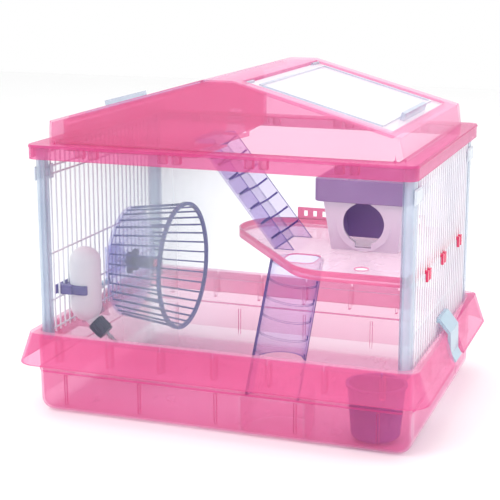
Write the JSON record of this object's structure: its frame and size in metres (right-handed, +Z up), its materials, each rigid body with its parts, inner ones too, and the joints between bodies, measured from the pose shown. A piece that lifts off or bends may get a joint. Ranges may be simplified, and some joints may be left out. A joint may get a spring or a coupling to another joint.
{
  "type": "hamster cage",
  "caption": "Two-storey house-shaped hamster cage: pink tray, clear walls, wire sides, gabled lift-off roof with hatches, loft, ladders, wheel, house, bottle and dish",
  "frame": {"origin": "centre of the footprint on the ground, under the tray", "axes": "+X right seen from the front, +Y to the back, +Z up; the front of the cage faces -Y"},
  "size_m": [0.478, 0.376, 0.388],
  "materials": {
    "pink_tray": "translucent injection-moulded, glossy",
    "pink_roof": "translucent injection-moulded, glossy",
    "clear": "clear moulded, glossy",
    "white_wire": "white powder-coated wire",
    "white_plastic": "satin white",
    "pale_clear": "translucent pale blue-grey",
    "steel": "turned, bright",
    "pale_pink": "translucent pale pink",
    "violet": "translucent violet",
    "violet_clear": "translucent violet",
    "lilac": "satin lilac",
    "milky": "frosted, milky",
    "pink_solid": "satin",
    "navy": "satin navy",
    "seal_rubber": "soft, matt"
  },
  "bodies": {
    "cage": {"base_tray": "pink_tray", "front_wall": "clear", "back_wall": "clear", "left_grille": "white_wire", "right_grille": "white_wire", "corner_clips": "white_plastic", "latch_pins": "steel", "wheel_axle": "steel", "axle_cap": "pink_solid", "wheel_bracket": "violet", "wheel_clamp": "violet", "bottle_strap": "lilac", "strap_clip": "lilac"},
    "left_latch": {"left_latch": "pale_clear"},
    "right_latch": {"right_latch": "pale_clear"},
    "roof": {"roof": "pink_roof", "attic_tray": "pink_roof"},
    "left_hatch": {"left_hatch": "clear"},
    "right_hatch": {"right_hatch": "clear"},
    "loft": {"loft": "pale_pink", "upper_ladder": "violet", "lower_ladder": "violet"},
    "house": {"house_body": "milky"},
    "house_roof": {"house_roof": "lilac"},
    "wheel": {"wheel_drum": "violet_clear", "wheel_hub": "violet"},
    "bottle": {"bottle": "milky"},
    "cap": {"bottle_cap": "navy", "bottle_seal": "seal_rubber", "bottle_spout": "steel"},
    "ball": {"spout_ball": "steel"},
    "dish": {"food_dish": "violet"}
  },
  "joints": [
    {"name": "roof_lift", "type": "slide", "parent": "cage", "child": "roof", "axis": [0, 0, 1], "range_m": [0, 0.15]},
    {"name": "left_hatch_hinge", "type": "hinge", "parent": "roof", "child": "left_hatch", "pos_m": [-0.02419, 0, 0.38328], "axis": [0, 1, 0], "range_deg": [0, 100]},
    {"name": "right_hatch_hinge", "type": "hinge", "parent": "roof", "child": "right_hatch", "pos_m": [0.02419, 0, 0.38328], "axis": [0, -1, 0], "range_deg": [0, 100]},
    {"name": "left_latch_hinge", "type": "hinge", "parent": "cage", "child": "left_latch", "pos_m": [-0.2285, 0, 0.07], "axis": [0, -1, 0], "range_deg": [0, 45]},
    {"name": "right_latch_hinge", "type": "hinge", "parent": "cage", "child": "right_latch", "pos_m": [0.2285, 0, 0.07], "axis": [0, 1, 0], "range_deg": [0, 45]},
    {"name": "wheel_spin", "type": "hinge", "parent": "cage", "child": "wheel", "pos_m": [-0.191, 0.02948, 0.136], "axis": [1, 0, 0], "continuous": true},
    {"name": "loft_lift", "type": "slide", "parent": "cage", "child": "loft", "axis": [0, 0, 1], "range_m": [0, 0.01]},
    {"name": "house_lift", "type": "slide", "parent": "loft", "child": "house", "axis": [0, 0, 1], "range_m": [0, 0.02]},
    {"name": "house_roof_lift", "type": "slide", "parent": "house", "child": "house_roof", "axis": [0, 0, 1], "range_m": [0, 0.03]},
    {"name": "bottle_lift", "type": "slide", "parent": "cage", "child": "bottle", "axis": [0, 0, 1], "range_m": [0, 0.06]},
    {"name": "cap_turn", "type": "hinge", "parent": "bottle", "child": "cap", "pos_m": [-0.1865, -0.09433, 0.098], "axis": [0.7431, 0, -0.6691], "range_deg": [0, 360]},
    {"name": "ball_push", "type": "slide", "parent": "cap", "child": "ball", "axis": [-0.7431, 0, 0.6691], "range_m": [0, 0.0015]},
    {"name": "dish_lift", "type": "slide", "parent": "cage", "child": "dish", "axis": [0, 0, 1], "range_m": [0, 0.05]}
  ]
}
